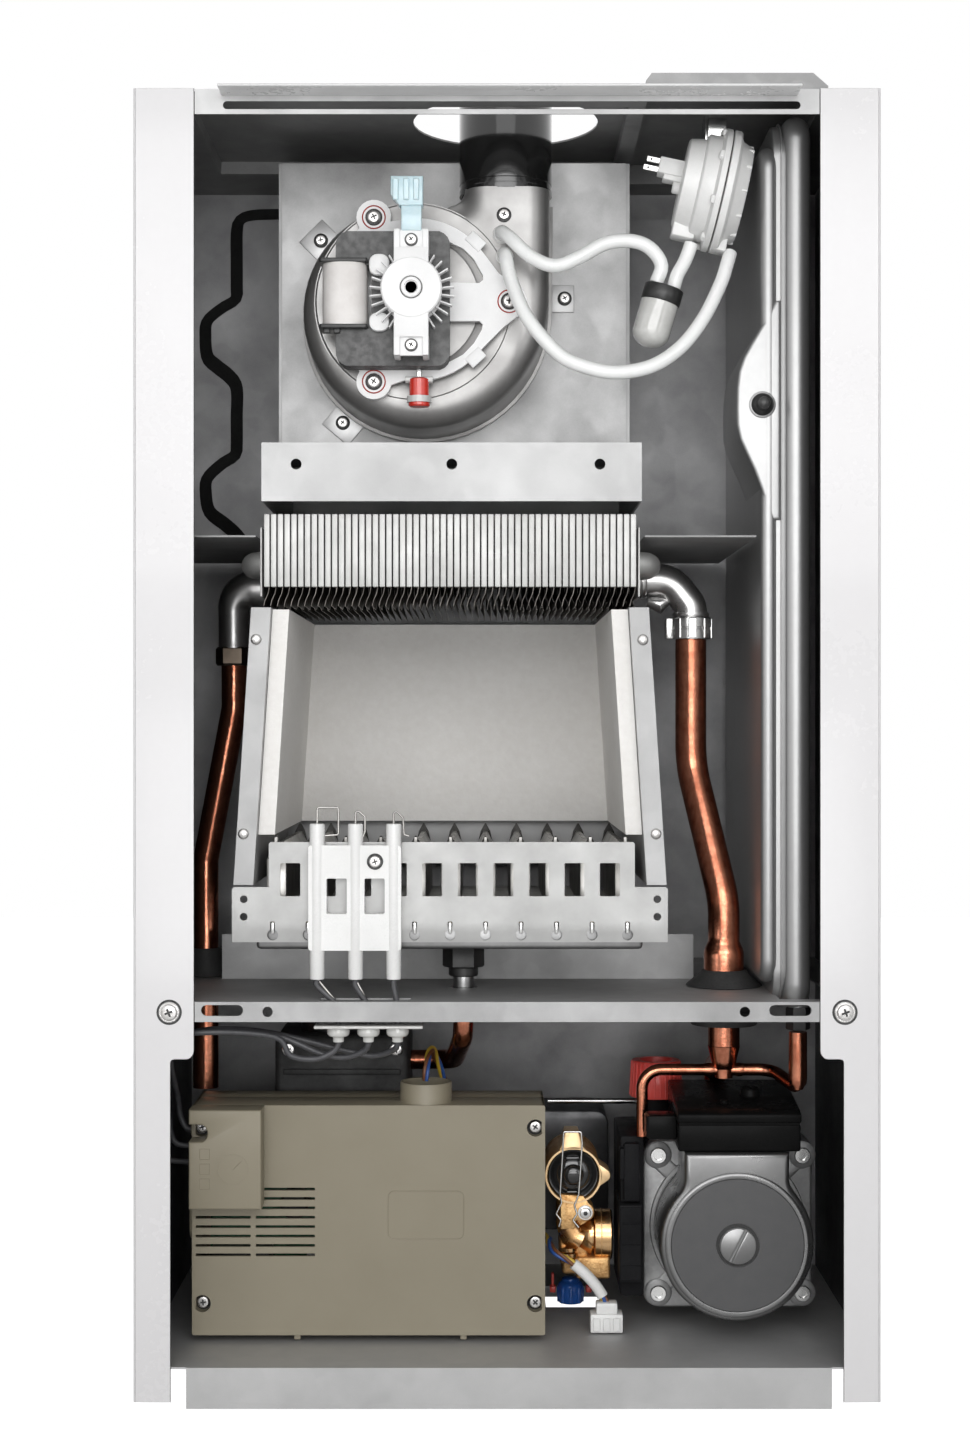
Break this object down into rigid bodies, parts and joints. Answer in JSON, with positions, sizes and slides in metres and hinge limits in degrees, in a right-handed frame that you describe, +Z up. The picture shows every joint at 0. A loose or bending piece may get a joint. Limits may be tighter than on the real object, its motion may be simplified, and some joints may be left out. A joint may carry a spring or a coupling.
{
  "type": "gas boiler",
  "caption": "Wall-hung fan-flued gas boiler with its front cover off: cabinet, fan, heat exchanger, burner, pump, control box and copper pipework.",
  "frame": {"origin": "centre of the cabinet's rear face, which lies on the wall", "axes": "+X right seen from the front, +Y into the wall, +Z up"},
  "size_m": [0.4, 0.248, 0.722],
  "materials": {
    "white_enamel": "smooth white enamel",
    "galvanised_steel": "mottled galvanised sheet",
    "satin_steel": "satin pressed steel",
    "wheel_steel": "plain zinc",
    "bright_steel": "bright",
    "white_plastic": "satin moulding",
    "steel_laminations": "varnished stack",
    "coil_tape": "taped winding",
    "black_enamel": "gloss black enamel",
    "silicone_rubber": "translucent silicone",
    "copper_fins": "tinned copper fins",
    "copper": "drawn copper",
    "ceramic_fibre": "pressed fibre board",
    "stainless_burner": "stainless sheet",
    "white_ceramic": "fired white ceramic",
    "dark_rubber": "matt",
    "lead_sleeve": "dark grey sleeve",
    "composite_black": "moulded composite",
    "olive_plastic": "fine texture",
    "circuit_board": "lacquered board",
    "pump_can": "pressed aluminium can",
    "black_plastic": "satin black",
    "red_plastic": "ribbed cap",
    "brass": "cast and turned",
    "blue_plastic": "ribbed knob",
    "silver_enamel": "satin silver"
  },
  "bodies": {
    "boiler": {"back_panel": "galvanised_steel", "bottom_tray": "galvanised_steel", "brass_valve_body": "brass", "burner_front_plate": "stainless_burner", "burner_ribs": "stainless_burner", "chamber_insulation": "ceramic_fibre", "chamber_shell": "galvanised_steel", "circuit_board": "circuit_board", "control_box_base": "olive_plastic", "control_box_cover": "olive_plastic", "control_harness": "lead_sleeve", "electrode_block": "white_ceramic", "expansion_vessel": "silver_enamel", "fan_bridge": "white_plastic", "fan_coil": "coil_tape", "fan_plate": "galvanised_steel", "fan_spider": "white_plastic", "fan_stator": "steel_laminations", "fan_volute": "satin_steel", "flow_elbow": "satin_steel", "flow_grommet": "dark_rubber", "flow_pipe": "copper", "flue_hood": "galvanised_steel", "flue_pipe": "black_enamel", "gas_manifold": "satin_steel", "gas_pipe": "copper", "gas_valve": "composite_black", "heat_exchanger": "copper_fins", "hose_fan_to_switch": "silicone_rubber", "hose_fan_to_trap": "silicone_rubber", "hose_trap_to_switch": "silicone_rubber", "hydraulic_block": "composite_black", "lead_flame_sensor": "lead_sleeve", "lead_gland": "silicone_rubber", "lead_ignition_left": "lead_sleeve", "lead_ignition_right": "lead_sleeve", "manifold_pipe": "copper", "mid_shelf": "galvanised_steel", "partition_shelf": "galvanised_steel", "plate_exchanger": "bright_steel", "pump_motor": "pump_can", "pump_terminal_box": "black_plastic", "return_pipe": "copper", "side_panel_left": "white_enamel", "side_panel_right": "white_enamel", "switch_body": "white_plastic", "switch_cover": "white_plastic", "top_plate": "galvanised_steel", "top_rail": "galvanised_steel", "trap_bottle": "silicone_rubber", "valve_cartridge": "black_plastic"},
    "fan_rotor": {"fan_impeller": "wheel_steel", "fan_shaft": "bright_steel", "fan_cooling_wheel": "white_plastic"},
    "pump_rotor": {"pump_rotor": "bright_steel"},
    "vent_screw": {"pump_vent_screw": "bright_steel"},
    "speed_knob": {"pump_speed_knob": "black_plastic"},
    "relief_knob": {"relief_knob": "red_plastic"},
    "tap_knob": {"fill_tap_knob": "blue_plastic"},
    "diaphragm": {"switch_diaphragm": "silicone_rubber"}
  },
  "joints": [
    {"name": "fan_spin", "type": "hinge", "parent": "boiler", "child": "fan_rotor", "pos_m": [-0.052, -0.15, 0.248], "axis": [0, 1, 0], "continuous": true},
    {"name": "pump_spin", "type": "hinge", "parent": "boiler", "child": "pump_rotor", "pos_m": [0.128, -0.14, -0.278], "axis": [0, 1, 0], "continuous": true},
    {"name": "vent_screw_turn", "type": "hinge", "parent": "boiler", "child": "vent_screw", "pos_m": [0.128, -0.19, -0.278], "axis": [0, -1, 0], "range_deg": [0, 360]},
    {"name": "speed_select", "type": "hinge", "parent": "boiler", "child": "speed_knob", "pos_m": [0.139, -0.154, -0.20082], "axis": [0, -0.1203, 0.9927], "range_deg": [0, 120]},
    {"name": "relief_turn", "type": "hinge", "parent": "boiler", "child": "relief_knob", "pos_m": [0.0896, -0.1, -0.21], "axis": [0, 0, 1], "range_deg": [0, 90]},
    {"name": "tap_turn", "type": "hinge", "parent": "boiler", "child": "tap_knob", "pos_m": [0.0397, -0.08, -0.33], "axis": [0, 0, 1], "range_deg": [0, 360]},
    {"name": "diaphragm_travel", "type": "slide", "parent": "boiler", "child": "diaphragm", "axis": [0.9781, 0, -0.2079], "range_m": [0, 0.002], "stiffness_N_per_m": 200}
  ]
}
